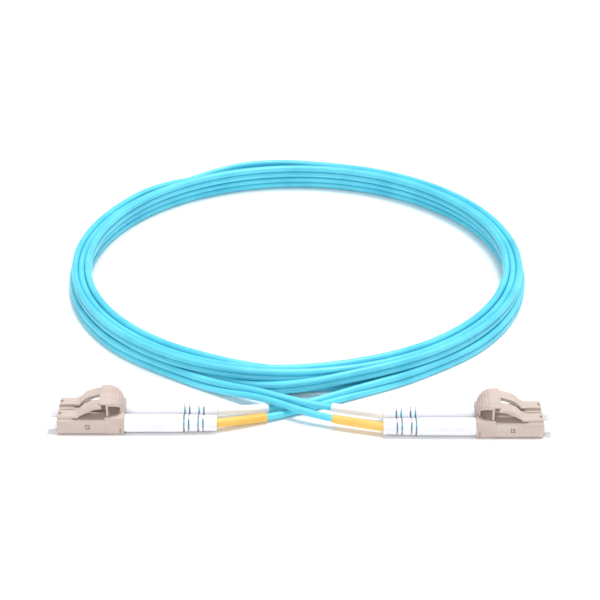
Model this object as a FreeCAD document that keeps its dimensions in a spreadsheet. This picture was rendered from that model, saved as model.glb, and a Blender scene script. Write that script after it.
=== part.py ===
"""Duplex fibre optic patch cord: two pairs of small-form plugs on a coiled two-fibre cord.

Millimetres, +Z up. The origin is on the surface that the cord lies on, midway between the two pairs
of plugs. Each plug is built in its own frame: X points out of its nose, the origin is on the plug's
axis at the nose face, Z is up. A pair of plugs has its origin midway between the two axes.
"""
import FreeCAD, Part
import math
import os
import re

import Sketcher
from FreeCAD import Placement, Rotation, Vector

doc = FreeCAD.newDocument("PatchCord")

# ---------------------------------------------------------------- driving dimensions

SIZES = {
    # where the two ends lie
    "nose_reach": (66.3, "from the middle of the cord to each pair's nose faces"),
    "end_stagger": (0.9, "each pair's offset from the middle line, left back and right forward"),
    "plug_pitch": (6.25, "between the axes of a pair"),
    # plug housing
    "housing_width": (4.52, "square body"),
    "housing_length": (13.05, "nose face to rear face"),
    "housing_bevel": (0.3, "long edges"),
    "nose_bore": (3.4, "mouth round the ferrule"),
    "nose_depth": (4.0, "depth of the mouth"),
    "throat_bore": (1.7, "hole that the ferrule passes"),
    "throat_length": (1.0, "length of that hole, the holder's stop"),
    "chamber_bore": (2.6, "bore that the holder slides in"),
    "chamber_length": (2.6, "length of that bore"),
    "post_bore": (3.3, "bore that takes the back post"),
    "window_back": (7.8, "nose face to the snap window"),
    "window_length": (1.1, "snap window along the plug"),
    "window_height": (1.3, "snap window across the plug"),
    "tab_play": (0.18, "round the snap tab in its window"),
    "tab_sink": (0.1, "snap tab below the housing's side"),
    # latch lever
    "root_back": (4.2, "nose face to the rear of the lever's root"),
    "root_front": (0.15, "nose face to the front of the root"),
    "root_width": (3.4, "root across the plug"),
    "lever_width": (3.8, "lever across the plug"),
    "lever_top": (0.94, "root and start of the lever above the housing"),
    "lever_under": (0.34, "underside of the lever's start above the housing"),
    "lever_gap": (0.15, "root to lever, the thin web between them left out"),
    "foot_back": (5.1, "nose face to the foot of the ramp"),
    "foot_top": (0.99, "foot of the ramp above the housing"),
    "foot_thickness": (0.55, "lever at the foot"),
    "ramp_back": (6.0, "nose face to the start of the steep part"),
    "ramp_top": (1.59, "start of the steep part above the housing"),
    "ramp_thickness": (0.75, "lever there, measured upright"),
    "bend_back": (7.4, "nose face to the end of the steep part"),
    "bend_top": (2.94, "end of the steep part above the housing"),
    "bend_thickness": (1.25, "lever there, measured upright"),
    "shelf_back": (8.6, "nose face to the start of the shelf"),
    "shelf_top": (3.49, "start of the shelf above the housing"),
    "shelf_thickness": (1.2, "lever there, measured upright"),
    "rise_top": (4.09, "middle of the shelf above the housing"),
    "rise_thickness": (1.0, "lever there, measured upright"),
    "tip_short": (0.75, "lever's tip to the housing's rear face"),
    "tip_top": (4.44, "lever's tip above the housing"),
    "tip_thickness": (1.1, "lever at its tip"),
    "ear_width": (4.3, "across the two catches beside the lever"),
    "ear_length": (0.9, "catches along the lever"),
    "ear_rise": (0.25, "catches above the underside of the lever's start"),
    "dimple_front": (0.3, "front of the root to its dimple"),
    "dimple_length": (0.6, "dimple along the root"),
    "dimple_width": (1.35, "dimple across the root"),
    "dimple_depth": (0.6, "dimple"),
    # ferrule, holder and spring
    "ferrule_diameter": (1.249, "ceramic"),
    "ferrule_length": (7.6, "ceramic"),
    "ferrule_reach": (1.2, "ferrule beyond the nose face"),
    "ferrule_edge": (0.15, "bevel round the ferrule's tip"),
    "flange_diameter": (2.4, "holder's flange"),
    "flange_length": (1.5, "holder's flange"),
    "stem_diameter": (1.2, "holder's tube behind its flange"),
    "stem_length": (5.2, "holder's tube behind its flange"),
    "fibre_diameter": (0.9, "buffered fibre"),
    "fibre_overlap": (1.6, "fibre inside the jacket's hollow end"),
    "spring_diameter": (1.9, "mean diameter of the coil spring"),
    "spring_wire": (0.25, "wire of the coil spring"),
    "spring_turns": (7, "turns of the coil spring"),
    # back post, crimp and boot
    "pocket_bore": (2.4, "back post's pocket for the spring"),
    "pocket_depth": (3.4, "back post's pocket for the spring"),
    "channel_bore": (1.4, "back post's bore for the holder's tube"),
    "neck_width": (3.1, "square neck that the clip grips"),
    "neck_bevel": (0.25, "long edges of the neck"),
    "spigot_diameter": (1.9, "back post behind the clip"),
    "spigot_length": (3.8, "back post behind the clip"),
    "crimp_diameter": (3.0, "crimp sleeve outside"),
    "crimp_length": (5.2, "crimp sleeve"),
    "boot_length": (25.35, "behind the clip"),
    "boot_diameter": (5.0, "boot at the clip"),
    "boot_tail": (4.3, "boot at its rear end"),
    "boot_taper": (12.0, "length of the boot's tapered end"),
    "boot_edge": (0.2, "bevel at the boot's front"),
    "boot_end_edge": (0.3, "bevel at the boot's rear"),
    "slit_back": (16.15, "clip to the first slit"),
    "slit_pitch": (3.9, "first slit to second slit"),
    "slit_width": (0.45, "slit along the boot"),
    "slit_depth": (0.75, "slit into the boot"),
    "window_step": (1.3, "slit to the row of windows behind it"),
    # clip and trigger
    "clip_length": (5.2, "along the plugs"),
    "clip_top": (0.79, "clip's top above the housings"),
    "clip_under": (0.29, "clip's underside below the housings"),
    "clip_bevel": (0.5, "clip's lower long edges"),
    "clip_rise": (0.25, "clip's upper long edges"),
    "mark_width": (0.6, "upright groove in the clip's lower edge, and from it to the clip's rear"),
    "mark_top": (0.4, "top of that groove below the axis"),
    "well_sink": (0.26, "floor under the trigger below the housings' top"),
    "well_length": (3.6, "floor under the trigger along the plugs"),
    "well_inset": (1.285, "clip's side to the side of the well under the trigger"),
    "hood_radius": (4.9, "outside of the trigger's curved back"),
    "hood_back": (1.25, "clip's front to the centre of that curve"),
    "hood_rise": (0.14, "centre of that curve above the housings"),
    "hood_rear": (5.15, "clip's front to the upright wall that the curve runs down into"),
    "hood_wall": (0.95, "trigger's wall"),
    "hood_inset": (0.485, "clip's side to the trigger's side"),
    "lip_reach": (1.35, "trigger's front lip ahead of the clip's front"),
    "lip_length": (1.9, "thin part of the lip, over the levers' tips"),
    "lip_thickness": (0.45, "thin part of the lip"),
    "lip_corner": (0.6, "lip's corner radius"),
    "rear_corner": (4.4, "corner radius at the trigger's back"),
    "hinge_gap": (0.22, "clip to trigger, the thin web between them left out"),
    "leg_back": (0.5, "clip's front to the trigger's side legs"),
    "leg_length": (0.6, "side leg along the plugs"),
    "leg_wall": (0.7, "side leg across the plugs"),
    "leg_bottom": (0.34, "side leg's end above the housings"),
    "leg_play": (0.3, "before, behind and inside of a side leg in its notch"),
    "leg_gap": (0.15, "outside of a side leg in its notch"),
    "notch_sink": (0.66, "floor of the side leg's notch below the housings' top"),
    "rib_start": (11.0, "degrees round the curve to the first grip groove"),
    "rib_pitch": (10.5, "degrees between the grip grooves"),
    "rib_width": (0.32, "grip groove"),
    "rib_depth": (0.2, "grip groove"),
    # dust cap
    "cap_diameter": (3.2, "outside"),
    "cap_reach": (2.7, "cap beyond the nose face"),
    "cap_insert": (2.7, "cap inside the mouth"),
    "cap_slack": (0.02, "cap's bore over the ferrule, on the diameter"),
    "cap_end": (0.9, "closed end"),
    "cap_edge": (0.3, "bevel at the closed end, and length of the lead-in"),
    "cap_lead": (0.15, "lead-in at the open end"),
    # cord
    "cord_diameter": (2.0, "one jacket of the pair"),
    "jacket_slack": (0.1, "jacket's hollow front end round the fibre"),
    "sleeve_diameter": (2.6, "marking sleeve outside"),
    "sleeve_length": (14.6, "marking sleeve"),
    "coil_radius": (70.8, "coil outside, lower turns"),
    "coil_width": (7.1, "across the lower turns"),
    "coil_step": (0.9, "upper turns inside the lower turns"),
    "coil_layer": (4.0, "height of a layer, one pair on edge"),
    "coil_edge": (0.5, "bevel along the coil's edges"),
    "coil_crease": (0.4, "half the height of the slope between its layers"),
    "coil_back": (85.36, "middle line to the coil's centre"),
    "coil_shift": (-0.88, "coil's centre to one side"),
}

sheet = doc.addObject("Spreadsheet::Sheet", "Sizes")
for row, (alias, (value, note)) in enumerate(SIZES.items(), start=1):
    sheet.set("A%d" % row, alias)
    sheet.set("B%d" % row, str(value))
    sheet.set("C%d" % row, note)
    sheet.setAlias("B%d" % row, alias)
doc.recompute()

WORD = re.compile(r"[a-z_]+")


def formula(text):
    """Write a formula in the sheet's names as an expression that an object can be bound to."""
    return WORD.sub(lambda found: "Sizes." + found.group() if found.group() in SIZES else found.group(),
                    str(text))


def size(text):
    """The value of a formula in the sheet's names."""
    result = sheet.evalExpression(formula(text))
    return float(getattr(result, "Value", result))


# ---------------------------------------------------------------- shared places

TOP = "housing_width / 2"                                        # the housings' top above their axes
AXIS_HEIGHT = "max(housing_width / 2 + clip_under; boot_diameter / 2)"      # above the surface
CLIP_HALF = "(plug_pitch + housing_width) / 2"
HOOD_WIDTH = "(plug_pitch + housing_width - 2 * hood_inset)"
HOOD_TOP = TOP + " + hood_rise + hood_radius"
HOOD_CENTRE = "(housing_length + hood_back)"                     # behind the nose face, as the next three
HOOD_REAR = "(housing_length + hood_rear)"
LIP_BACK = "(housing_length - lip_reach)"
LEG_BACK = "(housing_length + leg_back)"
LEVER_TIP = "(housing_length - tip_short)"
CLEAR = "10"                                                     # a cutting tool's run past the piece

# ---------------------------------------------------------------- building blocks

AXIS_ALONG_X = Rotation(Vector(0, 1, 0), 90)
AXIS_ALONG_Y = Rotation(Vector(1, 0, 0), -90)


def bind(item, settings):
    """Bind an object's properties to formulas in the sheet's names."""
    for name, text in settings.items():
        item.setExpression(name, formula(text))
    return item


def put(item, x="0", y="0", z="0"):
    """Bind an object's place."""
    return bind(item, {"Placement.Base.x": x, "Placement.Base.y": y, "Placement.Base.z": z})


def box(name, x, y, z, length, width, height):
    """A box from its low corner and its three sizes."""
    item = doc.addObject("Part::Box", name)
    bind(item, {"Length": length, "Width": width, "Height": height})
    return put(item, x, y, z)


def rod(name, back, length, diameter, y="0", z="0"):
    """A round bar along X that ends at -back and is this long."""
    item = doc.addObject("Part::Cylinder", name)
    item.Placement.Rotation = AXIS_ALONG_X
    bind(item, {"Height": length, "Radius": "(%s) / 2" % diameter})
    return put(item, "-(%s)" % back, y, z)


def join(name, *pieces):
    """One solid of several."""
    item = doc.addObject("Part::MultiFuse", name)
    item.Shapes = list(pieces)
    item.Refine = True
    return item


def cut(name, base, *tools):
    """Take the tools out of the base."""
    item = doc.addObject("Part::Cut", name)
    item.Base = base
    item.Tool = tools[0] if len(tools) == 1 else join(name + "_tools", *tools)
    return item


def overlap(name, *pieces):
    """What the pieces share."""
    item = doc.addObject("Part::MultiCommon", name)
    item.Shapes = list(pieces)
    return item


def plane(body, role):
    """One of a body's own origin planes or axes."""
    return next(item for item in body.Origin.OriginFeatures if item.Role == role)


def outline(body, role, corners):
    """A closed sketch of straight lines whose corners are bound to the sheet."""
    sketch = body.newObject("Sketcher::SketchObject", body.Name + "_outline")
    sketch.AttachmentSupport = [(plane(body, role), "")]
    sketch.MapMode = "FlatFace"
    spots = [Vector(size(across), size(up), 0) for across, up in corners]
    count = len(spots)
    for index in range(count):
        sketch.addGeometry(Part.LineSegment(spots[index], spots[(index + 1) % count]))
    for index in range(count):
        sketch.addConstraint(Sketcher.Constraint("Coincident", index, 2, (index + 1) % count, 1))
    for index, (across, up) in enumerate(corners):
        for kind, text, value in (("DistanceX", across, spots[index].x), ("DistanceY", up, spots[index].y)):
            place = sketch.addConstraint(Sketcher.Constraint(kind, -1, 1, index, 1, value))
            sketch.setExpression("Constraints[%d]" % place, formula(text))
    return sketch


def pad(name, role, corners, length, centred=False):
    """A body padded from an outline, both ways from its plane if centred."""
    body = doc.addObject("PartDesign::Body", name)
    sketch = outline(body, role, corners)
    feature = body.newObject("PartDesign::Pad", name + "_pad")
    feature.Profile = sketch
    feature.Midplane = centred
    bind(feature, {"Length": length})
    return body


def turn(name, corners):
    """A body turned about X from an outline of (along X, radius) corners."""
    body = doc.addObject("PartDesign::Body", name)
    sketch = outline(body, "XZ_Plane", corners)
    feature = body.newObject("PartDesign::Revolution", name + "_turned")
    feature.Profile = sketch
    feature.ReferenceAxis = (sketch, ["H_Axis"])
    feature.Angle = 360
    return body


def turned_rod(name, back, length, diameter):
    """A round bar along X as a body, which can be settled by itself."""
    front, radius = "-(%s) + %s" % (back, length), "(%s) / 2" % diameter
    return turn(name, [("-(%s)" % back, "0"), (front, "0"), (front, radius), ("-(%s)" % back, radius)])


def bar(name, back, length, width, height, bevel):
    """A rectangular bar along X with its four long edges bevelled, ending at -back."""
    half, tall = "(%s) / 2" % width, "(%s) / 2" % height
    corners = []
    for side, top in ((1, -1), (1, 1), (-1, 1), (-1, -1)):
        flat = ("%d * (%s - %s)" % (side, half, bevel), "%d * %s" % (top, tall))
        upright = ("%d * %s" % (side, half), "%d * (%s - %s)" % (top, tall, bevel))
        corners += [flat, upright] if side * top < 0 else [upright, flat]
    return put(pad(name, "YZ_Plane", corners, length), "-(%s)" % back)


# ---------------------------------------------------------------- ends and plugs

ENDS = {"left": -1, "right": 1}      # the way each pair's noses point along X
SIDES = {"near": -1, "far": 1}       # the side of the pair along Y
nodes = []


def settle(item, label, end, side=None):
    """Give a finished sub-part its name and its place at one end, on one plug or between the two."""
    way = ENDS[end]
    item.Label = label
    item.Placement.Rotation = Rotation(Vector(0, 0, 1), 0 if way > 0 else 180)
    across = "%d * end_stagger" % -way
    if side:
        across += " + %d * plug_pitch / 2" % SIDES[side]
    put(item, "%d * nose_reach" % way, across, AXIS_HEIGHT)
    nodes.append(item)
    return item


def build_housing(name, end, side):
    """Square moulded body: mouth, throat, holder chamber, post bore, snap windows and lever root."""
    chamber_back = "nose_depth + throat_length + chamber_length"
    body = bar(name + "_bar", "housing_length", "housing_length", "housing_width", "housing_width",
               "housing_bevel")
    root = box(name + "_root", "-root_back", "-root_width / 2", TOP + " - housing_bevel",
               "root_back - root_front", "root_width", "lever_top + housing_bevel")
    dimple = box(name + "_dimple", "-(root_front + dimple_front + dimple_length)", "-dimple_width / 2",
                 TOP + " + lever_top - dimple_depth", "dimple_length", "dimple_width", CLEAR)
    bores = [
        rod(name + "_mouth", "nose_depth", "nose_depth + 1", "nose_bore"),
        rod(name + "_throat", "nose_depth + throat_length", "throat_length + 1", "throat_bore"),
        rod(name + "_chamber", chamber_back, "chamber_length", "chamber_bore"),
        rod(name + "_bore", "housing_length + 1", "housing_length + 1 - (%s)" % chamber_back, "post_bore"),
    ]
    window = box(name + "_windows", "-(window_back + window_length)", "-housing_width", "-window_height / 2",
                 "window_length", "2 * housing_width", "window_height")
    solid = join(name + "_solid", body, root)
    return settle(cut(name, solid, *bores, window, dimple), name, end, side)


# where the lever's line changes, behind the nose face
LEVER_STATIONS = {
    "foot": "foot_back",
    "ramp": "ramp_back",
    "bend": "bend_back",
    "shelf": "shelf_back",
    "rise": "(shelf_back + %s) / 2" % LEVER_TIP,
    "tip": LEVER_TIP,
}


def build_latch(name, end, side):
    """Lever that rises from the root to its tip, with a catch on each side at the foot of the ramp."""
    front = "-(root_back + lever_gap)"
    above = [("-" + back, "%s + %s_top" % (TOP, spot)) for spot, back in LEVER_STATIONS.items()]
    below = [(back, "%s - %s_thickness" % (up, spot)) for spot, (back, up) in zip(LEVER_STATIONS, above)]
    corners = [(front, TOP + " + lever_top")] + above + below[::-1] + [(front, TOP + " + lever_under")]
    lever = pad(name + "_lever", "XZ_Plane", corners, "lever_width", centred=True)
    ears = box(name + "_ears", "-(foot_back + ear_length)", "-ear_width / 2",
               TOP + " + lever_under + ear_rise", "ear_length", "ear_width", "lever_top - lever_under")
    return settle(join(name, lever, ears), name, end, side)


def build_post(name, end, side):
    """Back post: round front with snap tabs and spring pocket, square neck, round spigot behind."""
    front = "nose_depth + throat_length + chamber_length"
    clip_back = "housing_length + clip_length"
    barrel = rod(name + "_barrel", "housing_length", "housing_length - (%s)" % front, "post_bore")
    neck = bar(name + "_neck", clip_back, "clip_length", "neck_width", "neck_width", "neck_bevel")
    spigot = rod(name + "_spigot", clip_back + " + spigot_length", "spigot_length", "spigot_diameter")
    tabs = box(name + "_tabs", "-(window_back + window_length - tab_play)", "-(housing_width / 2 - tab_sink)",
               "-(window_height / 2 - tab_play)", "window_length - 2 * tab_play",
               "housing_width - 2 * tab_sink", "window_height - 2 * tab_play")
    pocket = rod(name + "_pocket", front + " + pocket_depth", "pocket_depth + 1", "pocket_bore")
    channel = rod(name + "_channel", clip_back + " + spigot_length + 1", clip_back + " + spigot_length",
                  "channel_bore")
    solid = join(name + "_solid", barrel, neck, spigot, tabs)
    return settle(cut(name, solid, pocket, channel), name, end, side)


def build_ferrule(name, end, side):
    """Ceramic ferrule with a rounded tip."""
    tip, radius = "ferrule_reach", "ferrule_diameter / 2"
    item = turn(name, [
        ("%s - ferrule_length" % tip, "0"),
        (tip, "0"),
        (tip, "%s - ferrule_edge" % radius),
        ("%s - ferrule_edge" % tip, radius),
        ("%s - ferrule_length" % tip, radius),
    ])
    return settle(item, name, end, side)


def build_holder(name, end, side):
    """Metal flange against the throat, with a tube behind it, bored for the ferrule and the fibre."""
    front = "nose_depth + throat_length"
    flange = rod(name + "_flange", front + " + flange_length", "flange_length", "flange_diameter")
    stem = rod(name + "_stem", front + " + flange_length + stem_length", "stem_length", "stem_diameter")
    seat = rod(name + "_seat", "ferrule_length - ferrule_reach", "ferrule_length", "ferrule_diameter")
    way = rod(name + "_way", front + " + flange_length + stem_length + 1", "stem_length + flange_length + 1",
              "fibre_diameter")
    solid = join(name + "_solid", flange, stem)
    return settle(cut(name, solid, seat, way), name, end, side)


def build_spring(name, end, side):
    """Compression spring between the holder's flange and the floor of the post's pocket."""
    front = size("nose_depth + throat_length + flange_length + spring_wire / 2")
    back = size("nose_depth + throat_length + chamber_length + pocket_depth - spring_wire / 2")
    turns = size("spring_turns")
    radius = size("spring_diameter") / 2
    path = Part.makeLongHelix((back - front) / turns, back - front, radius, 0, False)
    path.rotate(Vector(0, 0, 0), Vector(0, 1, 0), -90)
    path.translate(Vector(-front, 0, 0))
    start = path.Edges[0].valueAt(path.Edges[0].FirstParameter)
    heading = path.Edges[0].tangentAt(path.Edges[0].FirstParameter)
    section = Part.Wire(Part.makeCircle(size("spring_wire") / 2, start, heading))
    coil = Part.Wire(path.Edges).makePipeShell([section], True, True)
    item = doc.addObject("Part::Feature", name)
    item.Shape = coil
    return settle(item, name, end, side)


def build_fibre(name, end, side):
    """Buffered fibre from the back of the ferrule into the cord's jacket."""
    front = "ferrule_length - ferrule_reach"
    back = "housing_length + clip_length + spigot_length + fibre_overlap"
    return settle(turned_rod(name, back, "%s - (%s)" % (back, front), "fibre_diameter"), name, end, side)


def build_crimp(name, end, side):
    """Metal sleeve crimped over the spigot and the end of the jacket."""
    front = "housing_length + clip_length"
    tube = rod(name + "_tube", front + " + crimp_length", "crimp_length", "crimp_diameter")
    inner = rod(name + "_inner", front + " + spigot_length", "spigot_length + 1", "spigot_diameter")
    rear = rod(name + "_rear", front + " + crimp_length + 1", "crimp_length + 1", "cord_diameter")
    keep_out = box(name + "_front", "-(%s + spigot_length)" % front, "-%s / 2" % CLEAR, "-%s / 2" % CLEAR,
                   CLEAR, CLEAR, CLEAR)
    rear_part = cut(name + "_rear_part", rear, keep_out)
    return settle(cut(name, tube, inner, rear_part), name, end, side)


def build_jacket(name, end, side):
    """The cord's jacket inside the boot, with a hollow front end where the fibre slides a little."""
    front = "housing_length + clip_length + spigot_length"
    back = "housing_length + clip_length + boot_length"
    item = turn(name, [
        ("-(%s)" % back, "0"),
        ("-(%s + 2 * fibre_overlap)" % front, "0"),
        ("-(%s + 2 * fibre_overlap)" % front, "fibre_diameter / 2 + jacket_slack"),
        ("-(%s)" % front, "fibre_diameter / 2 + jacket_slack"),
        ("-(%s)" % front, "cord_diameter / 2"),
        ("-(%s)" % back, "cord_diameter / 2"),
    ])
    return settle(item, name, end, side)


WINDOWS = ((-60, 120), (75, 60), (225, 60))     # start and sweep of each window, in degrees round the boot


def build_boot(name, end, side):
    """Soft boot: a long round body with a tapered end, two slits and two rows of windows."""
    front = "housing_length + clip_length"
    back = front + " + boot_length"
    skin = turn(name + "_skin", [
        ("-(%s)" % back, "cord_diameter / 2"),
        ("-(%s + crimp_length)" % front, "cord_diameter / 2"),
        ("-(%s + crimp_length)" % front, "crimp_diameter / 2"),
        ("-(%s)" % front, "crimp_diameter / 2"),
        ("-(%s)" % front, "boot_diameter / 2 - boot_edge"),
        ("-(%s + boot_edge)" % front, "boot_diameter / 2"),
        ("-(%s - boot_taper)" % back, "boot_diameter / 2"),
        ("-(%s - boot_end_edge)" % back, "boot_tail / 2"),
        ("-(%s)" % back, "boot_tail / 2 - boot_end_edge"),
    ])
    slits, windows = [], []
    for row in range(2):
        place = "%s + slit_back + %d * slit_pitch" % (front, row)
        slit_end = place + " + slit_width"
        slits.append(rod("%s_slit_%d" % (name, row), slit_end, "slit_width", "boot_diameter + 1"))
        for spot, (start, sweep) in enumerate(WINDOWS):
            sector = rod("%s_window_%d_%d" % (name, row, spot), place + " + window_step + slit_width",
                         "slit_width", "boot_diameter + 1")
            sector.Angle = sweep
            sector.Placement.Rotation = Rotation(Vector(1, 0, 0), start).multiply(AXIS_ALONG_X)
            put(sector, "-(%s + window_step + slit_width)" % place)
            windows.append(sector)
    core = rod(name + "_core", back, "boot_length", "boot_diameter - 2 * slit_depth")
    rings = cut(name + "_rings", join(name + "_openings", *slits, *windows), core)
    return settle(cut(name, skin, rings), name, end, side)


def build_cap(name, end, side):
    """Dust cap over the ferrule: a closed tube that stands in the plug's mouth."""
    reach, radius = "cap_reach", "cap_diameter / 2"
    bore = "(ferrule_diameter + cap_slack) / 2"
    item = turn(name, [
        ("-cap_insert", bore),
        ("%s - cap_end" % reach, bore),
        ("%s - cap_end" % reach, "0"),
        (reach, "0"),
        (reach, "%s - cap_edge" % radius),
        ("%s - cap_edge" % reach, radius),
        ("-cap_insert + cap_edge", radius),
        ("-cap_insert", "%s - cap_lead" % radius),
    ])
    return settle(item, name, end, side)


PLUG_PIECES = {
    "housing": build_housing,
    "latch": build_latch,
    "ferrule": build_ferrule,
    "ferrule_holder": build_holder,
    "spring": build_spring,
    "back_post": build_post,
    "fibre": build_fibre,
    "crimp_sleeve": build_crimp,
    "jacket_end": build_jacket,
    "boot": build_boot,
    "dust_cap": build_cap,
}

# ---------------------------------------------------------------- clip and trigger of a pair

def build_clip(name, end):
    """Clip round the two necks, with a well under the trigger and a notch for each of its legs."""
    back = "housing_length + clip_length"
    corners = [
        ("%s - clip_bevel" % CLIP_HALF, "-" + AXIS_HEIGHT),
        (CLIP_HALF, "-%s + clip_bevel" % AXIS_HEIGHT),
        (CLIP_HALF, TOP + " + clip_top - clip_rise"),
        ("%s - clip_rise" % CLIP_HALF, TOP + " + clip_top"),
    ]
    corners += [("-(%s)" % across, up) for across, up in reversed(corners)]
    block = put(pad(name + "_block", "YZ_Plane", corners, "clip_length"), "-(%s)" % back)
    tools = []
    for side, way in SIDES.items():
        hole = bar("%s_hole_%s" % (name, side), back, "clip_length", "neck_width", "neck_width", "neck_bevel")
        tools.append(put(hole, "-(%s)" % back, "%d * plug_pitch / 2" % way))
        low = HOOD_WIDTH + " / 2 - leg_wall - leg_play" if way > 0 else "-%s / 2 - leg_gap" % HOOD_WIDTH
        notch_back = LEG_BACK + " + leg_length + leg_play"
        tools.append(box("%s_notch_%s" % (name, side), "-(%s)" % notch_back, low, TOP + " - notch_sink",
                         notch_back, "leg_wall + leg_play + leg_gap", CLEAR))
        low = "%s - clip_bevel" % CLIP_HALF if way > 0 else "-(%s) - %s + clip_bevel" % (CLIP_HALF, CLEAR)
        tools.append(box("%s_mark_%s" % (name, side), "-(%s - mark_width)" % back, low, "-" + AXIS_HEIGHT,
                         "mark_width", CLEAR, AXIS_HEIGHT + " - mark_top"))
    well_half = "(%s - well_inset)" % CLIP_HALF
    tools.append(box(name + "_well", "-(housing_length + well_length)", "-" + well_half, TOP + " - well_sink",
                     "well_length + 1", "2 * " + well_half, CLEAR))
    return settle(cut(name, block, *tools), name, end)


def round_bar(name, diameter, across):
    """A round bar across the pair on the centre of the trigger's curve."""
    item = doc.addObject("Part::Cylinder", name)
    item.Placement.Rotation = AXIS_ALONG_Y
    bind(item, {"Height": across, "Radius": "(%s) / 2" % diameter})
    return put(item, "-" + HOOD_CENTRE, "-(%s) / 2" % across, TOP + " + hood_rise")


GROOVES = 5     # grip grooves across the trigger's curve


def build_trigger(name, end):
    """Curved hood hinged behind, with a lip over both levers, grip grooves and a leg on each side."""
    foot = TOP + " + clip_top + hinge_gap"
    behind = "hood_rear - hood_back"
    outside = overlap(name + "_outside", round_bar(name + "_outside_bar", "2 * hood_radius", HOOD_WIDTH),
                      box(name + "_outside_side", "-" + HOOD_REAR, "-" + HOOD_WIDTH, foot, behind,
                          "2 * " + HOOD_WIDTH, HOOD_TOP))
    inside = overlap(name + "_inside", round_bar(name + "_inside_bar", "2 * (hood_radius - hood_wall)",
                                                 "%s + %s" % (HOOD_WIDTH, CLEAR)),
                     box(name + "_inside_side", "hood_wall - " + HOOD_REAR, "-" + HOOD_WIDTH, foot + " - 1",
                         behind, "2 * " + HOOD_WIDTH, HOOD_TOP))
    half = HOOD_WIDTH + " / 2"
    root = box(name + "_lip_root", "-" + HOOD_CENTRE, "-" + half, HOOD_TOP + " - hood_wall",
               "hood_back + lip_reach - lip_length", HOOD_WIDTH, "hood_wall")
    lip = box(name + "_lip", "-" + HOOD_CENTRE, "-" + half, HOOD_TOP + " - lip_thickness",
              "hood_back + lip_reach", HOOD_WIDTH, "lip_thickness")
    plan = pad(name + "_plan", "XY_Plane", plan_outline(), "2 * " + CLEAR)
    curve = join(name + "_curve", cut(name + "_shell", outside, inside), root, lip)
    hood = overlap(name + "_hood", curve, plan)
    legs = []
    for side, way in SIDES.items():
        low = half + " - leg_wall" if way > 0 else "-" + half
        legs.append(box("%s_leg_%s" % (name, side), "-(%s + leg_length)" % LEG_BACK, low,
                        TOP + " + leg_bottom", "leg_length", "leg_wall",
                        "hood_rise + hood_radius - leg_bottom - hood_wall / 2"))
    grooves = []
    for row in range(GROOVES):
        angle = "(rib_start + %d * rib_pitch)" % row
        reach = "(hood_radius - rib_depth)"
        groove = box("%s_groove_%d" % (name, row), "0", "0", "0", "rib_width", "2 * " + HOOD_WIDTH, CLEAR)
        groove.Placement.Rotation = Rotation(Vector(0, 1, 0), -size(angle))
        put(groove, "-%s - %s * sin(%s * 1 deg)" % (HOOD_CENTRE, reach, angle), "-" + HOOD_WIDTH,
            "%s + hood_rise + %s * cos(%s * 1 deg)" % (TOP, reach, angle))
        grooves.append(groove)
    return settle(cut(name, join(name + "_solid", hood, *legs), *grooves), name, end)


def plan_outline():
    """The trigger seen from above: small corners at the lip, large ones at the back, each in short steps."""
    steps = 6
    front, back = LIP_BACK + " + lip_corner", HOOD_REAR + " - rear_corner"
    corners = []
    for across, centre, radius in ((1, front, "lip_corner"), (-1, front, "lip_corner"),
                                   (-1, back, "rear_corner"), (1, back, "rear_corner")):
        first = {("lip_corner", 1): 0, ("lip_corner", -1): 90, ("rear_corner", -1): 180,
                 ("rear_corner", 1): 270}
        start = first[(radius, across)]
        for step in range(steps + 1):
            angle = start + 90 * step / steps
            y = "%d * (%s / 2 - %s) + %s * cos(%g deg)" % (across, HOOD_WIDTH, radius, radius, angle)
            x = "-(%s) + %s * sin(%g deg)" % (centre, radius, angle)
            corners.append((x, y))
    return corners


# ---------------------------------------------------------------- cord

# Each jacket's way from its boot to the coil, chosen by hand: near and far jacket of each end.
ROUTES = {
    ("left", "near"): [(-22.6, -2.2, 2.5), (-9.0, 2.2, 1.4), (1.5, 7.2, 1.05), (11.5, 12.5, 1.05),
                       (21.5, 17.4, 1.05), (31.0, 22.4, 1.05), (39.5, 28.6, 1.05)],
    ("left", "far"): [(-22.6, 4.05, 2.5), (-10.2, 6.4, 1.55), (0.5, 9.6, 1.2), (11.0, 13.6, 2.2),
                      (21.5, 18.0, 3.0), (31.0, 22.6, 3.05), (39.5, 28.8, 3.05)],
    ("right", "near"): [(22.6, -4.0, 2.5), (8.8, -0.6, 2.6), (-2.0, 3.6, 3.8), (-11.0, 9.2, 3.7),
                        (-21.0, 15.4, 1.5), (-31.0, 21.2, 1.05), (-40.0, 28.0, 1.05)],
    ("right", "far"): [(22.6, 2.25, 2.5), (10.0, 4.4, 3.0), (-1.5, 7.6, 3.6), (-11.5, 11.8, 4.2),
                       (-21.5, 16.6, 3.3), (-31.0, 21.8, 3.05), (-40.0, 28.6, 3.05)],
}
ARC_SHARE = 0.45     # how much of the shorter run each arc takes at its end


def tube_path(points):
    """Straight runs joined by tangent arcs, each as large as its two runs allow, and the arcs' radii."""
    spots = [Vector(*point) for point in points]
    edges, radii = [], []
    last = spots[0]
    for before, corner, after in zip(spots, spots[1:], spots[2:]):
        arriving = (corner - before).normalize()
        leaving = (after - corner).normalize()
        shorter = min(before.distanceToPoint(corner), corner.distanceToPoint(after))
        reach = ARC_SHARE * shorter
        half_turn = arriving.getAngle(leaving) / 2
        radius = reach / math.tan(half_turn)
        start, finish = corner - arriving * reach, corner + leaving * reach
        inward = (leaving - arriving).normalize()
        middle = corner + inward * (radius / math.cos(half_turn) - radius)
        edges.append(Part.LineSegment(last, start).toShape())
        edges.append(Part.Arc(start, middle, finish).toShape())
        radii.append(radius)
        last = finish
    edges.append(Part.LineSegment(last, spots[-1]).toShape())
    return Part.Wire(edges), radii


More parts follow.
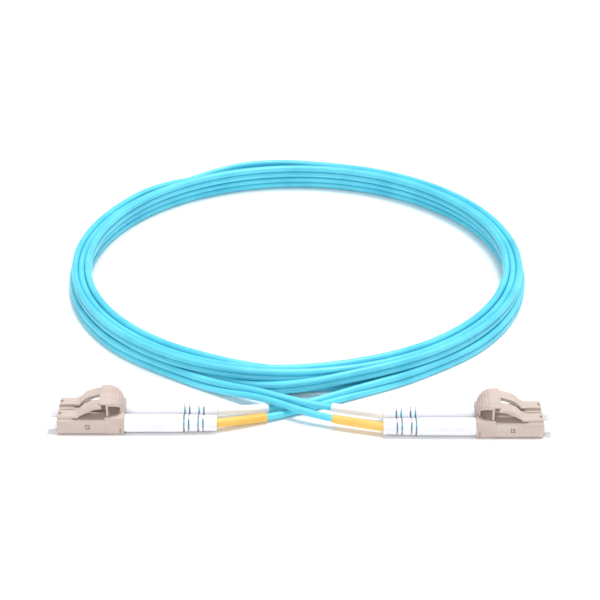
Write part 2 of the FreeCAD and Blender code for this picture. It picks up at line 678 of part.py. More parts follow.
def build_tail(name, end, side):
    """One jacket from its boot to the coil: a round tube along its route."""
    path, radii = tube_path(ROUTES[(end, side)])
    radius = size("cord_diameter") / 2
    first = path.Edges[0]
    heading = first.tangentAt(first.FirstParameter)
    section = Part.Wire(Part.makeCircle(radius, first.valueAt(first.FirstParameter), heading))
    tube = path.makePipeShell([section], True, False)
    item = doc.addObject("Part::Feature", name)
    item.Shape = tube
    item.Label = name
    nodes.append(item)
    expected = math.pi * radius ** 2 * path.Length
    print("%s: length %.1f, radii %s, volume %.1f of %.1f" %
          (name, path.Length, " ".join("%.0f" % value for value in radii), tube.Volume, expected))
    return item


SLEEVE_START = 0.1     # behind the boot's end, along the cord


def build_sleeve(name, end, side):
    """Marking sleeve on the cord, just behind the boot and in line with the cord's first run."""
    start, finish = (Vector(*point) for point in ROUTES[(end, side)][:2])
    heading = (finish - start).normalize()
    outside = doc.addObject("Part::Cylinder", name + "_outside")
    inside = doc.addObject("Part::Cylinder", name + "_inside")
    bind(outside, {"Radius": "sleeve_diameter / 2", "Height": "sleeve_length"})
    bind(inside, {"Radius": "cord_diameter / 2", "Height": "sleeve_length"})
    item = cut(name, outside, inside)
    item.Label = name
    item.Placement = Placement(start + heading * SLEEVE_START, Rotation(Vector(0, 0, 1), heading))
    nodes.append(item)
    return item


def build_coil(name):
    """The coil's outer shape: a ring of lower turns with a slightly smaller ring of upper turns on it."""
    body = doc.addObject("PartDesign::Body", name)
    inner = "coil_radius - coil_width"
    sketch = outline(body, "XZ_Plane", [
        ("%s + coil_edge" % inner, "0"),
        ("coil_radius - coil_edge", "0"),
        ("coil_radius", "coil_edge"),
        ("coil_radius", "coil_layer - coil_crease"),
        ("coil_radius - coil_step", "coil_layer + coil_crease"),
        ("coil_radius - coil_step", "2 * coil_layer - coil_edge"),
        ("coil_radius - coil_step - coil_edge", "2 * coil_layer"),
        ("%s + coil_edge" % inner, "2 * coil_layer"),
        (inner, "2 * coil_layer - coil_edge"),
        (inner, "coil_edge"),
    ])
    ring = body.newObject("PartDesign::Revolution", name + "_turned")
    ring.Profile = sketch
    ring.ReferenceAxis = (sketch, ["V_Axis"])
    ring.Angle = 360
    body.Label = name
    put(body, "coil_shift", "coil_back")
    nodes.append(body)
    return body


# ---------------------------------------------------------------- assembly

for end in ENDS:
    build_clip(end + "_clip", end)
    build_trigger(end + "_trigger", end)
    for side in SIDES:
        for piece, build in PLUG_PIECES.items():
            build("%s_%s_%s" % (end, side, piece), end, side)
        build_sleeve("%s_%s_marking_sleeve" % (end, side), end, side)
        build_tail("%s_%s_cord" % (end, side), end, side)
build_coil("cord_coil")
doc.recompute()

broken = [item.Name for item in doc.Objects if "Invalid" in item.State or "Error" in item.State]
for item in nodes:
    if item.Shape.isNull() or not item.Shape.isValid() or not item.Shape.Solids:
        broken.append(item.Label)
if broken:
    raise SystemExit("not built: " + ", ".join(broken))

os.makedirs("parts", exist_ok=True)
for item in nodes:
    item.Shape.exportStep("parts/%s.step" % item.Label)
print("%d sub-parts written" % len(nodes))
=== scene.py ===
"""Looks of the duplex fibre optic patch cord, in metres, in the frame of its CAD model."""
import math

import bmesh
import bpy
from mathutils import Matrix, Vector


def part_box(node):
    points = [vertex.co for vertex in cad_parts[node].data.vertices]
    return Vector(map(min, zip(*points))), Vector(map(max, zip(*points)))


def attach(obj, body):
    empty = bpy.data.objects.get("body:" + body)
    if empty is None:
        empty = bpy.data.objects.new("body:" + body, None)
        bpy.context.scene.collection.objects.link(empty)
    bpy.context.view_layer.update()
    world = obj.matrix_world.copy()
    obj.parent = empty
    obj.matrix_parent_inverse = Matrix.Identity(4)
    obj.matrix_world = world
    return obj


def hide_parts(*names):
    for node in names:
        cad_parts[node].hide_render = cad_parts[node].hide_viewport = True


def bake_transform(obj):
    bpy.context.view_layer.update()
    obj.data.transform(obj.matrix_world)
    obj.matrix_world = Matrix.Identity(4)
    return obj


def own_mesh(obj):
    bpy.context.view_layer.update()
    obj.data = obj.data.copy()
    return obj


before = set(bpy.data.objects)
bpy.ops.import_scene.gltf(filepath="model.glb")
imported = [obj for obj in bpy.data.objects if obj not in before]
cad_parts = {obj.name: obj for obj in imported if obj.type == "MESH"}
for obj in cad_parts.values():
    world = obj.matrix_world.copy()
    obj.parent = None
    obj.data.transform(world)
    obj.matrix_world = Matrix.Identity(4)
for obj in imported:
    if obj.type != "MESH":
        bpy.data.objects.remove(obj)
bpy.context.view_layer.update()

# ---------------------------------------------------------------- table top and light
# The cord lies on a plain white table top under soft studio light, looked at from in front and a
# little above, from far enough away that its two pairs of plugs keep their shape.

EYE_DISTANCE = 0.6045
EYE_RISE = math.radians(29.07)
LOOKS_AT = Vector((0, 0.0716, 0))


class Link:
    """A node's output in one material, on which the usual operators add Math nodes."""

    def __init__(self, finish, socket):
        self.finish = finish
        self.socket = socket

    def math(self, operation, *values):
        return self.finish.node("ShaderNodeMath", {"operation": operation}, dict(enumerate(values)))

    def __add__(self, other):
        return self.math("ADD", self, other)

    def __mul__(self, other):
        return self.math("MULTIPLY", self, other)

    __radd__ = __add__
    __rmul__ = __mul__


class Finish:
    """A material whose nodes are added one by one."""

    def __init__(self, name):
        self.material = bpy.data.materials.new(name)
        self.material.use_nodes = True
        self.nodes = self.material.node_tree.nodes
        self.shader = self.nodes["Principled BSDF"]

    def node(self, kind, settings=None, inputs=None, output=0):
        """Adds a node: its settings first, then the values or links of its sockets."""
        made = self.nodes.new(kind)
        for name, value in (settings or {}).items():
            if name == "stops":
                for stop, (place, colour) in zip(made.color_ramp.elements, value):
                    stop.position = place
                    stop.color = colour
            else:
                setattr(made, name, value)
        for name, value in (inputs or {}).items():
            self.feed(made.inputs[name], value)
        return Link(self, made.outputs[output])

    def feed(self, socket, value):
        if isinstance(value, Link):
            self.material.node_tree.links.new(value.socket, socket)
        else:
            socket.default_value = value

    def set(self, **values):
        """Feeds the shader's sockets, named with _ for each space."""
        for name, value in values.items():
            self.feed(self.shader.inputs[name.replace("_", " ")], value)

    def noise(self, scale, detail=3.0, stretch=(1, 1, 1)):
        """Noise of this many waves a metre, stretched along the object's axes."""
        place = self.node("ShaderNodeTexCoord", output="Object")
        place = self.node("ShaderNodeVectorMath", {"operation": "MULTIPLY"}, {0: place, 1: stretch})
        return self.node("ShaderNodeTexNoise", {}, {"Vector": place, "Scale": scale, "Detail": detail})

    def blotches(self, scale, colours, detail=3.0, stretch=(1, 1, 1)):
        """Soft blotches between a darker and a lighter colour."""
        darker, lighter = colours
        stops = [(0.35, (*darker, 1)), (0.65, (*lighter, 1))]
        return self.node("ShaderNodeValToRGB", {"stops": stops}, {"Fac": self.noise(scale, detail, stretch)})

    def bump(self, height, distance, strength):
        return self.node("ShaderNodeBump", {}, {"Height": height, "Strength": strength, "Distance": distance})


camera = bpy.data.objects.new("camera", bpy.data.cameras.new("camera"))
camera.data.lens = 118.1
camera.data.sensor_width = 36
camera.data.clip_start = 0.01
camera.location = LOOKS_AT + EYE_DISTANCE * Vector((0, -math.cos(EYE_RISE), math.sin(EYE_RISE)))
camera.rotation_euler = (math.pi / 2 - EYE_RISE, 0, 0)
bpy.context.scene.collection.objects.link(camera)
bpy.context.scene.camera = camera
bpy.context.scene.view_settings.view_transform = "Standard"

FLOOR_HALF = 6.0
floor_mesh = bpy.data.meshes.new("floor")
corners = [(x * FLOOR_HALF, y * FLOOR_HALF, 0) for x, y in ((-1, -1), (1, -1), (1, 1), (-1, 1))]
floor_mesh.from_pydata(corners, [], [(0, 1, 2, 3)])
floor = bpy.data.objects.new("floor", floor_mesh)
bpy.context.scene.collection.objects.link(floor)
table_top = Finish("table top")
table_top.set(Base_Color=(0.97, 0.97, 0.97, 1), Roughness=0.6)
floor.data.materials.append(table_top.material)

world = bpy.data.worlds.new("room")
world.use_nodes = True
sky = world.node_tree.nodes["Background"]
sky.inputs["Color"].default_value = (1, 1, 1, 1)
sky.inputs["Strength"].default_value = 0.42
bpy.context.scene.world = world

# name: where it shines from, how wide it looks in degrees and its strength
LIGHTS = {
    "front softbox": ((-0.3, -0.8, 0.55), 34, 0.85),
    "top softbox": ((0.15, 0.15, 1.1), 26, 2.5),
    "right softbox": ((0.9, 0.0, 0.5), 26, 0.45),
}
for name, (spot, width, strength) in LIGHTS.items():
    lamp = bpy.data.objects.new(name, bpy.data.lights.new(name, "SUN"))
    lamp.data.angle = math.radians(width)
    lamp.data.energy = strength
    lamp.location = spot
    lamp.rotation_euler = (-Vector(spot)).to_track_quat("-Z", "Y").to_euler()
    bpy.context.scene.collection.objects.link(lamp)

# ---------------------------------------------------------------- the two jackets
# One zipcord, two round aqua jackets side by side, from the boots of the left pair round the coil to
# the boots of the right pair. The jackets split a little way behind each boot, and in the coil the
# pair stands on edge, one jacket on the other, laid by hand in two layers of three turns.

MM = 0.001
ENDS = {"left": -1, "right": 1}       # the way each pair's noses point along X
SIDES = ("near", "far")
JACKET = 2.0 * MM
COIL_CENTRE = Vector((-0.88, 85.36, 0))
TAILS = {
    ("left", "near"): [(-22.6, -2.2, 2.5), (-9.0, 2.2, 1.4), (1.5, 7.2, 1.05), (11.5, 12.5, 1.05),
                       (21.5, 17.4, 1.05), (31.0, 22.4, 1.05)],
    ("left", "far"): [(-22.6, 4.05, 2.5), (-10.2, 6.4, 1.55), (0.5, 9.6, 1.2), (11.0, 13.6, 2.2),
                      (21.5, 18.0, 3.0), (31.0, 22.6, 3.05)],
    ("right", "near"): [(22.6, -4.0, 2.5), (8.8, -0.6, 2.6), (-2.0, 3.6, 3.8), (-11.0, 9.2, 3.7),
                        (-21.0, 15.4, 1.5), (-31.0, 21.2, 1.05)],
    ("right", "far"): [(22.6, 2.25, 2.5), (10.0, 4.4, 3.0), (-1.5, 7.6, 3.6), (-11.5, 11.8, 4.2),
                       (-21.5, 16.6, 3.3), (-31.0, 21.8, 3.05)],
}

# slots of the coil's section: radius of the jackets' centres, height of the lower and the upper one
SLOTS = {
    "outer_low": (69.8, 1.0, 3.0),
    "middle_low": (67.8, 1.0, 3.0),
    "inner_low": (65.8, 1.0, 3.0),
    "outer_top": (68.9, 5.0, 7.0),
    "middle_top": (66.9, 4.75, 6.65),
    "inner_top": (64.9, 5.4, 7.4),
    "rising": (69.8, 5.0, 7.0),
    "bulging_top": (71.9, 5.0, 7.0),
    "bulging_low": (71.9, 1.0, 3.0),
    "bowed_in": (63.9, 3.2, 5.2),
}
# how the cord is laid: degrees round the coil from its right side, and the slot that it is in there
LAY = [
    (-57, "outer_low"), (100, "outer_low"), (135, "rising"), (150, "outer_top"), (246, "outer_top"),
    (290, "middle_top"), (606, "middle_top"), (650, "inner_top"), (966, "inner_top"), (988, "bowed_in"),
    (1010, "inner_low"), (1326, "inner_low"), (1370, "middle_low"), (1686, "middle_low"),
    (1702, "outer_low"), (1725, "rising"), (1736, "outer_top"), (1884, "outer_top"),
    (1900, "bulging_top"), (1935, "bulging_low"), (1950, "outer_low"), (2037, "outer_low"),
]
POINTS_A_TURN = 30


def slot_at(angle, level):
    """Radius and height of the lower (0) or upper (1) jacket at an angle along the coil."""
    for (start, first), (finish, second) in zip(LAY, LAY[1:]):
        if angle <= finish:
            break
    share = min(max((angle - start) / (finish - start), 0), 1)
    share = share * share * (3 - 2 * share)
    before, after = SLOTS[first], SLOTS[second]
    return (before[0] + share * (after[0] - before[0]),
            before[1 + level] + share * (after[1 + level] - before[1 + level]))


def coil_points(level):
    """The spline's points for one jacket's turns. They stand outside the line by what the spline cuts."""
    step = 360 / POINTS_A_TURN
    outside = 8 / (6 + 2 * math.cos(math.radians(step)))
    first, last = LAY[0][0] + step, LAY[-1][0] - step
    count = round((last - first) / step)
    points = []
    for index in range(count + 1):
        angle = first + (last - first) * index / count
        radius, height = slot_at(angle, level)
        turned = math.radians(angle)
        points.append(COIL_CENTRE + Vector((radius * outside * math.cos(turned),
                                            radius * outside * math.sin(turned), height)))
    return points


def spline(name, points, radius):
    """A smooth round line through the space between its points, in millimetres."""
    curve = bpy.data.curves.new(name, "CURVE")
    curve.dimensions = "3D"
    line = curve.splines.new("NURBS")
    line.points.add(len(points) - 1)
    for spot, point in zip(line.points, points):
        spot.co = (*(Vector(point) * MM), 1)
    line.order_u = 3
    line.use_endpoint_u = True
    line.resolution_u = 6
    curve.bevel_depth = radius
    curve.bevel_resolution = 6
    curve.use_fill_caps = True
    item = bpy.data.objects.new(name, curve)
    bpy.context.scene.collection.objects.link(item)
    return item


def aqua_jacket():
    """Smooth extruded plastic, a little paler where it has been handled, with faint drawing ripples."""
    finish = Finish("aqua jacket")
    finish.set(Base_Color=finish.blotches(90, ((0.09, 0.59, 0.775), (0.135, 0.70, 0.87))),
               Roughness=0.33 + 0.12 * finish.noise(700),
               Coat_Weight=0.12 + 0.1 * finish.noise(160),
               Normal=finish.bump(finish.noise(2600), 0.00004, 0.4))
    finish.set(Coat_Roughness=0.3, IOR=1.47)
    return finish.material


JACKET_FINISH = aqua_jacket()
jackets = {}
for level, side in enumerate(SIDES):
    route = TAILS[("left", side)] + coil_points(level) + TAILS[("right", side)][::-1]
    jacket = spline(side + "_jacket", route, JACKET / 2)
    jacket.data.materials.append(JACKET_FINISH)
    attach(jacket, "root")
    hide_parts("left_%s_cord" % side, "right_%s_cord" % side, "cord_coil")
    jackets[side] = jacket

# ---------------------------------------------------------------- marking sleeves
# A short plain tube slipped over each jacket before the plug is fitted, yellow on the one fibre and
# white on the other, pushed up against the end of the boot. It bends with the cord.

SLEEVE_START = -0.5 * MM       # just inside the end of the boot
SLEEVE_LENGTH = 14.6 * MM
SLEEVE_RADIUS = 1.3 * MM
SLEEVE_LIP = 0.12 * MM         # rounding of the tube's ends
SLEEVE_BORE = JACKET / 2 + 0.02 * MM
SLEEVE_STEPS = 30
SLEEVE_ROUND = 32              # faces round the tube
MID_ROUNDING = 0.3             # share of a rounding that its middle is set in from both faces
SHARP = math.radians(35)       # edges that turn by more than this stay sharp


def low(node):
    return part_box(node)[0]


def high(node):
    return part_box(node)[1]


def line_of(jacket):
    """The points that a jacket's spline follows."""
    bare = jacket.copy()
    bare.data = jacket.data.copy()
    bare.data.bevel_depth = 0
    mesh = bpy.data.meshes.new_from_object(bare)
    points = [vertex.co.copy() for vertex in mesh.vertices]
    bpy.data.objects.remove(bare)
    bpy.data.meshes.remove(mesh)
    return points


def along(points, distance):
    """The point and the heading at a distance along a line."""
    for start, finish in zip(points, points[1:]):
        run = (finish - start).length
        if distance <= run:
            break
        distance -= run
    heading = (finish - start).normalized()
    return start + heading * distance, heading


def circle(centre, aside, upward, radius, faces):
    """Points round a centre, from one direction towards another."""
    return [centre + radius * (math.cos(turn) * aside + math.sin(turn) * upward)
            for turn in (2 * math.pi * index / faces for index in range(faces))]


def skin(name, rings, closed=False):
    """A mesh through rings of points, capped at its ends unless it closes on itself."""
    mesh = bmesh.new()
    loops = [[mesh.verts.new(point) for point in ring] for ring in rings]
    pairs = zip(loops, loops[1:] + loops[:1] if closed else loops[1:])
    for first, second in pairs:
        count = len(first)
        for index in range(count):
            after = (index + 1) % count
            mesh.faces.new((first[index], first[after], second[after], second[index]))
    if not closed:
        mesh.faces.new(loops[0])
        mesh.faces.new(loops[-1][::-1])
    bmesh.ops.recalc_face_normals(mesh, faces=mesh.faces)
    for face in mesh.faces:
        face.smooth = len(face.verts) == 4
    data = bpy.data.meshes.new(name)
    mesh.to_mesh(data)
    mesh.free()
    item = bpy.data.objects.new(name, data)
    bpy.context.scene.collection.objects.link(item)
    return item


def crisp(item):
    """Keep the sharp edges of a smooth mesh sharp."""
    mesh = item.data
    sharp = bmesh.new()
    sharp.from_mesh(mesh)
    for edge in sharp.edges:
        if len(edge.link_faces) == 2 and edge.calc_face_angle() > SHARP:
            edge.smooth = False
    sharp.to_mesh(mesh)
    sharp.free()


def sleeve_rings(points):
    """Rings along the outside of a sleeve and back along its inside."""
    outer, middle = SLEEVE_RADIUS, MID_ROUNDING * SLEEVE_LIP
    straight = SLEEVE_LENGTH - 2 * SLEEVE_LIP
    stations = [(0, SLEEVE_BORE), (0, outer - SLEEVE_LIP), (middle, outer - middle)]
    stations += [(SLEEVE_LIP + straight * step / SLEEVE_STEPS, outer) for step in range(SLEEVE_STEPS + 1)]
    stations += [(SLEEVE_LENGTH - middle, outer - middle), (SLEEVE_LENGTH, outer - SLEEVE_LIP),
                 (SLEEVE_LENGTH, SLEEVE_BORE)]
    stations += [(SLEEVE_LENGTH * (1 - step / SLEEVE_STEPS), SLEEVE_BORE) for step in range(1, SLEEVE_STEPS)]
    rings = []
    for distance, radius in stations:
        centre, heading = along(points, SLEEVE_START + distance)
        aside = heading.cross(Vector((0, 0, 1))).normalized()
        rings.append(circle(centre, aside, aside.cross(heading), radius, SLEEVE_ROUND))
    return rings


def sleeve_finish(name, darker, lighter):
    """Shrunk plastic tube, satin, a little uneven in colour where the cord shows through it."""
    finish = Finish(name)
    finish.set(Base_Color=finish.blotches(260, (darker, lighter), stretch=(0.3, 1, 1)),
               Roughness=0.36 + 0.14 * finish.noise(1500),
               Normal=finish.bump(finish.noise(3200), 0.00005, 0.5))
    finish.set(IOR=1.48)
    return finish.material


YELLOW = sleeve_finish("yellow sleeve", (0.78, 0.47, 0.085), (0.88, 0.57, 0.14))
WHITE = sleeve_finish("white sleeve", (0.80, 0.82, 0.86), (0.90, 0.91, 0.93))
SLEEVE_FINISH = {"near": ("sleeve_yellow", YELLOW), "far": ("sleeve_white", WHITE)}
for side in SIDES:
    track = line_of(jackets[side])
    for end in ENDS:
        name = "%s_%s_marking_sleeve" % (end, side)
        rings = sleeve_rings(track if end == "left" else track[::-1])
        sleeve = skin(name.replace("marking", "marker"), rings, closed=True)
        crisp(sleeve)
        slot, material = SLEEVE_FINISH[side]
        sleeve.data.materials.append(material)
        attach(sleeve, "root")
        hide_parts(name)
    boot = "left_%s_boot" % side

# ---------------------------------------------------------------- boots
# Soft white boots moulded over the crimp, one behind each plug. Each is a long round body whose end
# tapers a little, cut half way in by two slits and by short windows so that it bends in a curve.

BOOT_ROUND = 72                # faces round a boot
BOOT_TAPER = 12.0 * MM         # length of the tapered end
BOOT_TAIL = 0.86               # rear end's radius as a share of the front's
BOOT_BEND = 0.25 * MM          # rounding of both ends
BOOT_RINGS = (3.0 * MM, 6.0 * MM, 9.0 * MM)           # rings along the plain front part
TAIL_ROUNDING = ((MID_ROUNDING, 0.35), (0, 1.2))      # shares of the bend: before the end, and inwards
TAIL_BORE = JACKET / 2 + 0.05 * MM
TAIL_BORE_DEPTH = 1.0 * MM
SLIT_FLOOR = 0.96 * MM         # the slits go in until the jacket shows
SLITS = (16.15 * MM, 20.05 * MM)        # behind the clip
WINDOWS = (17.45 * MM, 21.35 * MM)
WINDOW_SPANS = ((-60, 60), (75, 135), (225, 285))     # degrees round the boot from its near side
OPENING = 0.45 * MM
EDGE = 0.05 * MM               # rounding of an opening's edges
LEAN = 0.01 * MM               # by which an opening's walls lean


def boot_outside(length, radius):
    """The boot's outer radius as a function of the distance behind the clip."""
    taper = length - BOOT_TAPER
    slope = radius * (1 - BOOT_TAIL) / BOOT_TAPER
    return lambda distance: radius - slope * max(0, distance - taper)


def in_span(angle):
    """Whether this angle round the boot is in one of the windows."""
    return any((angle - start) % 360 <= finish - start for start, finish in WINDOW_SPANS)


def boot_stations(length, outside):
    """Distance behind the clip, radius, and which opening is there: none, slit or window."""
    radius, tail = outside(0), outside(length)
    middle = MID_ROUNDING * BOOT_BEND
    stations = [(0, radius - BOOT_BEND, None), (middle, radius - middle, None)]
    for distance in (BOOT_BEND, *BOOT_RINGS, length - BOOT_TAPER, length - BOOT_BEND):
        stations.append((distance, outside(distance), None))
    for kind, starts in (("slit", SLITS), ("window", WINDOWS)):
        for start in starts:
            finish = start + OPENING
            stations += [
                (start - EDGE, outside(start), None),
                (start, outside(start) - EDGE, None),
                (start + LEAN, SLIT_FLOOR, kind),
                (finish - LEAN, SLIT_FLOOR, kind),
                (finish, outside(finish) - EDGE, None),
                (finish + EDGE, outside(finish), None),
            ]
    stations.sort(key=lambda station: station[0])
    stations += [(length - before * BOOT_BEND, tail - inwards * BOOT_BEND, None)
                 for before, inwards in TAIL_ROUNDING]
    return stations + [(length, TAIL_BORE, None), (length - TAIL_BORE_DEPTH, TAIL_BORE, None)]


def boot_rings(front, way, centre, stations, outside):
    """Rings of one boot, from the clip to its end."""
    rings = []
    for distance, radius, opening in stations:
        ring = []
        for index in range(BOOT_ROUND):
            angle = 360 * index / BOOT_ROUND
            solid = opening == "window" and not in_span(angle)
            reach = outside(distance) if solid else radius
            turn = math.radians(angle)
            ring.append(Vector((front - way * distance, centre.y - reach * math.cos(turn),
                                centre.z + reach * math.sin(turn))))
        rings.append(ring)
    return rings


def boot_finish():
    """Soft white elastomer with a cool cast, satin, faintly uneven, with a fine moulded grain."""
    finish = Finish("boot rubber")
    finish.set(Base_Color=finish.blotches(140, ((0.80, 0.81, 0.87), (0.88, 0.89, 0.93))),
               Roughness=0.42 + 0.16 * finish.noise(900),
               Normal=finish.bump(finish.noise(5200), 0.00003, 0.5))
    finish.set(IOR=1.45)
    return finish.material


BOOT_FINISH = boot_finish()
for end, way in ENDS.items():
    for side in SIDES:
        node = "%s_%s_boot" % (end, side)
        lowest, highest = low(node), high(node)
        centre = (lowest + highest) / 2
        length = highest.x - lowest.x
        front = highest.x if way > 0 else lowest.x
        outside = boot_outside(length, (highest.z - lowest.z) / 2)
        rings = boot_rings(front, way, centre, boot_stations(length, outside), outside)
        boot = skin(node.replace("boot", "bend_boot"), rings)
        crisp(boot)
        boot.data.materials.append(BOOT_FINISH)
        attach(boot, "root")
        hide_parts(node)

# ---------------------------------------------------------------- housings, levers, clips and triggers
# Beige moulded plastic: each plug's square body and the latch lever over it, and the clip that holds
# a pair of plugs together, with its trigger. The moulds leave satin faces and softly broken edges.

BROKEN_EDGE = 0.09 * MM
BROKEN_FROM = math.radians(28)     # edges that turn by more than this are broken


def moulded(name, darker, lighter, roughness):
    """Satin moulded plastic with a slight flow pattern and a fine spark-eroded grain."""
    finish = Finish(name)
    flow = finish.noise(420, 4.0, (0.35, 1, 1))
    finish.set(Base_Color=finish.blotches(300, (darker, lighter), 4.0, (0.4, 1, 1)),
               Roughness=roughness + 0.16 * flow,
               Normal=finish.bump(finish.noise(7000) + 0.4 * flow, 0.000035, 0.5))
    finish.set(IOR=1.5)
    return finish.material


def dress(node, material, broken_edge=0):
    """Give a CAD node its finish, and broken edges where it shows."""
    item = bpy.data.objects[node]
    item.data.materials.clear()
    item.data.materials.append(material)
    if broken_edge:
        weld = item.modifiers.new("weld", "WELD")
        weld.merge_threshold = 0.002 * MM
        bevel = item.modifiers.new("broken edges", "BEVEL")
        bevel.width = broken_edge
        bevel.segments = 2
        bevel.limit_method = "ANGLE"
        bevel.angle_limit = BROKEN_FROM


HOUSING_FINISH = moulded("beige housing", (0.56, 0.465, 0.41), (0.63, 0.53, 0.475), 0.34)
CLIP_FINISH = moulded("beige clip", (0.55, 0.445, 0.395), (0.62, 0.51, 0.46), 0.38)
for end in ENDS:
    dress(end + "_clip", CLIP_FINISH, BROKEN_EDGE)
    dress(end + "_trigger", CLIP_FINISH, 0.6 * BROKEN_EDGE)
    for side in SIDES:
        dress("%s_%s_housing" % (end, side), HOUSING_FINISH, BROKEN_EDGE)
        dress("%s_%s_latch" % (end, side), HOUSING_FINISH, BROKEN_EDGE)

# ---------------------------------------------------------------- bending webs
# Each lever is moulded in one with its housing, and each trigger with its clip. A thin web at the
# root of each bends when it is pressed, so that no screw or pin is needed.

WEB_STEPS = 6
WEB_BITE = 0.1 * MM            # how far a web reaches into the pieces that it joins
LEVER_GAP = 0.15 * MM          # from root to lever
LEVER_WEB_HALF = 1.68 * MM     # half its width across the plug
LEVER_WEB_DEPTH = 0.58 * MM    # from the housing's highest face down
LEVER_WEB_SINK = 0.01 * MM     # its top below that face
TRIGGER_GAP = 0.22 * MM        # from clip to trigger
TRIGGER_WEB_HALF = 2.2 * MM
TRIGGER_WEB_WALL = 0.9 * MM
TRIGGER_WEB_SINK = 0.03 * MM   # its rear face inside the trigger's


def web(name, first, second, axis, material):
    """A block between two corners, in steps along one axis."""
    span = second - first
    rings = []
    for step in range(WEB_STEPS + 1):
        ring = []
        for corner in ((0, 0), (1, 0), (1, 1), (0, 1)):
            shares = list(corner)
            shares.insert(axis, step / WEB_STEPS)
            ring.append(first + Vector([span[place] * shares[place] for place in range(3)]))
        rings.append(ring)
    item = skin(name, rings)
    for face in item.data.polygons:
        face.use_smooth = False
    item.data.materials.append(material)
    return item


for end, way in ENDS.items():
    for side in SIDES:
        plug = "%s_%s_" % (end, side)
        lever, housing = plug + "latch", plug + "housing"
        gap_rear = high(lever).x if way > 0 else low(lever).x
        top = high(housing).z
        middle = (low(housing).y + high(housing).y) / 2
        first = Vector((gap_rear + way * (LEVER_GAP + WEB_BITE), middle - LEVER_WEB_HALF,
                        top - LEVER_WEB_DEPTH))
        second = Vector((gap_rear - way * WEB_BITE, middle + LEVER_WEB_HALF, top - LEVER_WEB_SINK))
        item = web(plug + "lever_web", first, second, 0, HOUSING_FINISH)
        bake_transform(item)
    trigger, clip = end + "_trigger", end + "_clip"
    rear = low(trigger).x if way > 0 else high(trigger).x
    middle = (low(trigger).y + high(trigger).y) / 2
    top = high(clip).z
    first = Vector((rear + way * TRIGGER_WEB_SINK, middle - TRIGGER_WEB_HALF, top - WEB_BITE))
    second = Vector((rear + way * TRIGGER_WEB_WALL, middle + TRIGGER_WEB_HALF, top + TRIGGER_GAP + WEB_BITE))
    item = web(end + "_trigger_web", first, second, 2, CLIP_FINISH)
    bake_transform(item)

# ---------------------------------------------------------------- dust caps
# A thin milky cap pushed over each ferrule, its skirt inside the plug's mouth and its closed end
# outside. It is injection moulded in soft clear plastic, so light goes into it.

CAP_ROUND = 48                 # faces round a cap
CAP_BORE = 0.64 * MM
CAP_END = 0.9 * MM             # thickness of the closed end
CAP_BEND = 0.45 * MM           # rounding of the closed end
BEND_ANGLES = (72, 54, 36, 18, 0)       # degrees at which that rounding has a ring
CAP_GRIP = 2.5 * MM            # length of the full-width part outside the mouth
CAP_STEP = 0.1 * MM            # length of the step down to the skirt, and the bevel in the bore
SKIRT_WIDTHS = (0.96, 0.95, 0.87)       # skirt's radius at its start, near its end and at its end
SKIRT_LEAD = 0.3 * MM          # tapered lead-in at the skirt's end
TIP_HOLE = 0.02 * MM           # radius of the ring that closes an end


def cap_finish():
    """Milky soft plastic that lets some light through, with a faint painted glow for the light that comes
    through it.
    """
    finish = Finish("dust cap")
    finish.set(Base_Color=finish.blotches(350, ((0.93, 0.92, 0.97), (0.97, 0.97, 0.99))),
               Roughness=0.28 + 0.12 * finish.noise(1200),
               Normal=finish.bump(finish.noise(3500), 0.00003, 0.4))
    finish.set(Transmission_Weight=0.25, IOR=1.4)
    # painted glow: a faint constant emission that stands in for light coming through the cap
    finish.set(Emission_Color=(0.92, 0.9, 1.0, 1), Emission_Strength=0.1)
    return finish.material


def cap_outline(length, radius):
    """Distance behind the cap's tip and radius, along its outside and back inside its bore."""
    outline = [(0, TIP_HOLE), (0, radius - CAP_BEND)]
    for angle in BEND_ANGLES:
        turn = math.radians(angle)
        outline.append((CAP_BEND * (1 - math.sin(turn)), radius - CAP_BEND * (1 - math.cos(turn))))
    start, along_skirt, finish = (share * radius for share in SKIRT_WIDTHS)
    return outline + [
        (CAP_GRIP, radius), (CAP_GRIP + CAP_STEP, start), (length - SKIRT_LEAD, along_skirt),
        (length, finish), (length, CAP_BORE), (CAP_END + CAP_STEP, CAP_BORE),
        (CAP_END, CAP_BORE - CAP_STEP), (CAP_END, TIP_HOLE),
    ]


CAP_FINISH = cap_finish()
for end, way in ENDS.items():
    for side in SIDES:
        node = "%s_%s_dust_cap" % (end, side)
        lowest, highest = low(node), high(node)
        centre = (lowest + highest) / 2
        tip = highest.x if way > 0 else lowest.x
        rings = [circle(Vector((tip - way * distance, centre.y, centre.z)), Vector((0, 1, 0)),
                        Vector((0, 0, 1)), radius, CAP_ROUND)
                 for distance, radius in cap_outline(highest.x - lowest.x, (highest.z - lowest.z) / 2)]
        cap = skin(node.replace("dust_cap", "milky_cap"), rings)
        crisp(cap)
        cap.data.materials.append(CAP_FINISH)
        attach(cap, node)
        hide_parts(node)

# ---------------------------------------------------------------- inside the plugs
# Ceramic ferrule pressed into a plated holder, the beige back post, the crimped metal sleeve, the
# buffered fibre and the end of the jacket. They show in the mouth and in the openings.


def metal(name, darker, lighter, roughness, wave):
    """Plated or drawn metal with fine turning marks."""
    finish = Finish(name)
    marks = finish.noise(wave, 2.0, (1, 0.1, 0.1))
    finish.set(Base_Color=finish.blotches(900, (darker, lighter)), Metallic=1.0,
               Roughness=roughness + 0.15 * marks, Normal=finish.bump(marks, 0.00001, 0.5))
    return finish.material


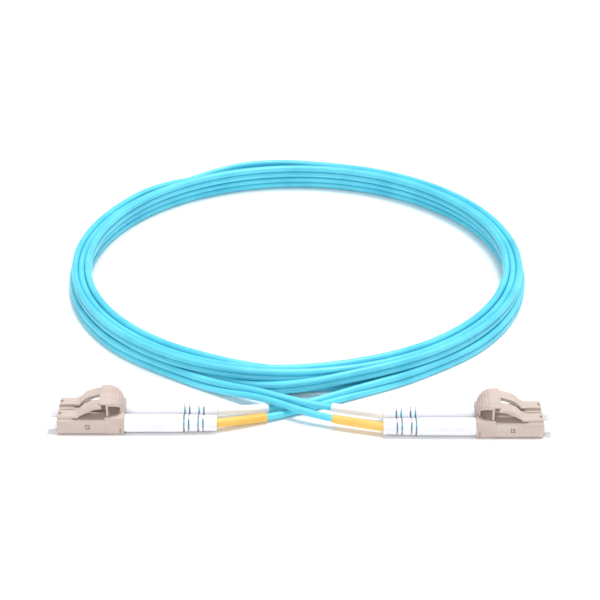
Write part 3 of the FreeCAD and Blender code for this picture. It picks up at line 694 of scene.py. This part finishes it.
ceramic = Finish("ceramic")
ceramic.set(Base_Color=ceramic.blotches(500, ((0.83, 0.81, 0.77), (0.90, 0.89, 0.86))),
            Roughness=0.1 + 0.08 * ceramic.noise(2500),
            Normal=ceramic.bump(ceramic.noise(9000), 0.000005, 0.4))
ceramic.set(IOR=1.9)
buffer = Finish("fibre buffer")
buffer.set(Base_Color=buffer.blotches(400, ((0.10, 0.55, 0.70), (0.16, 0.64, 0.78))),
           Roughness=0.35 + 0.1 * buffer.noise(2000), Normal=buffer.bump(buffer.noise(6000), 0.00001, 0.4))
INNER = {
    "ferrule": ceramic.material,
    "ferrule_holder": metal("nickel plate", (0.60, 0.58, 0.54), (0.70, 0.68, 0.64), 0.2, 9000),
    "crimp_sleeve": metal("crimp sleeve", (0.66, 0.65, 0.62), (0.76, 0.75, 0.72), 0.3, 7000),
    "back_post": moulded("beige post", (0.50, 0.41, 0.36), (0.58, 0.48, 0.43), 0.4),
    "fibre": buffer.material,
    "jacket_end": JACKET_FINISH,
}
for end in ENDS:
    for side in SIDES:
        for piece, material in INNER.items():
            dress("%s_%s_%s" % (end, side, piece), material)

# ---------------------------------------------------------------- springs
# One coil spring of steel wire stands in each back post and pushes the holder forward. Its end turns are
# closed.

SPRING_TURNS = 7
SPRING_STEPS = 30              # points in a turn
WIRE_ROUND = 12                # faces round the wire
WIRE = 0.25 * MM
CLOSED_PITCH = 1.04 * WIRE     # advance of a closed end turn


def spring_advance(turns, length):
    """How far along the spring the wire is after so many turns."""
    open_pitch = (length - 2 * CLOSED_PITCH) / (SPRING_TURNS - 2)
    closing = max(0, turns - (SPRING_TURNS - 1))
    return (CLOSED_PITCH * (min(turns, 1) + closing)
            + open_pitch * min(max(0, turns - 1), SPRING_TURNS - 2))


def spring_rings(back, way, centre, length, radius):
    """Rings along the wire, from the turn that stands in the post to the one behind the flange."""
    rings = []
    for step in range(SPRING_TURNS * SPRING_STEPS + 1):
        turned = 2 * math.pi * step / SPRING_STEPS
        outward = Vector((0, math.cos(turned), math.sin(turned)))
        spot = Vector((back + way * (WIRE / 2 + spring_advance(step / SPRING_STEPS, length)),
                       centre.y, centre.z)) + radius * outward
        rings.append(circle(spot, outward, Vector((1, 0, 0)), WIRE / 2, WIRE_ROUND))
    return rings


SPRING_FINISH = metal("spring wire", (0.45, 0.45, 0.46), (0.58, 0.58, 0.59), 0.25, 6000)
for end, way in ENDS.items():
    for side in SIDES:
        plug = "%s_%s_" % (end, side)
        lowest, highest = low(plug + "spring"), high(plug + "spring")
        centre = (lowest + highest) / 2
        back = lowest.x if way > 0 else highest.x
        whole = highest.x - lowest.x
        rings = spring_rings(back, way, centre, whole - WIRE, (highest.z - lowest.z - WIRE) / 2)
        spring = skin(plug + "coil_spring", rings)
        spring.data.materials.append(SPRING_FINISH)
        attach(spring, "root")
        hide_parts(plug + "spring")
        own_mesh(spring)
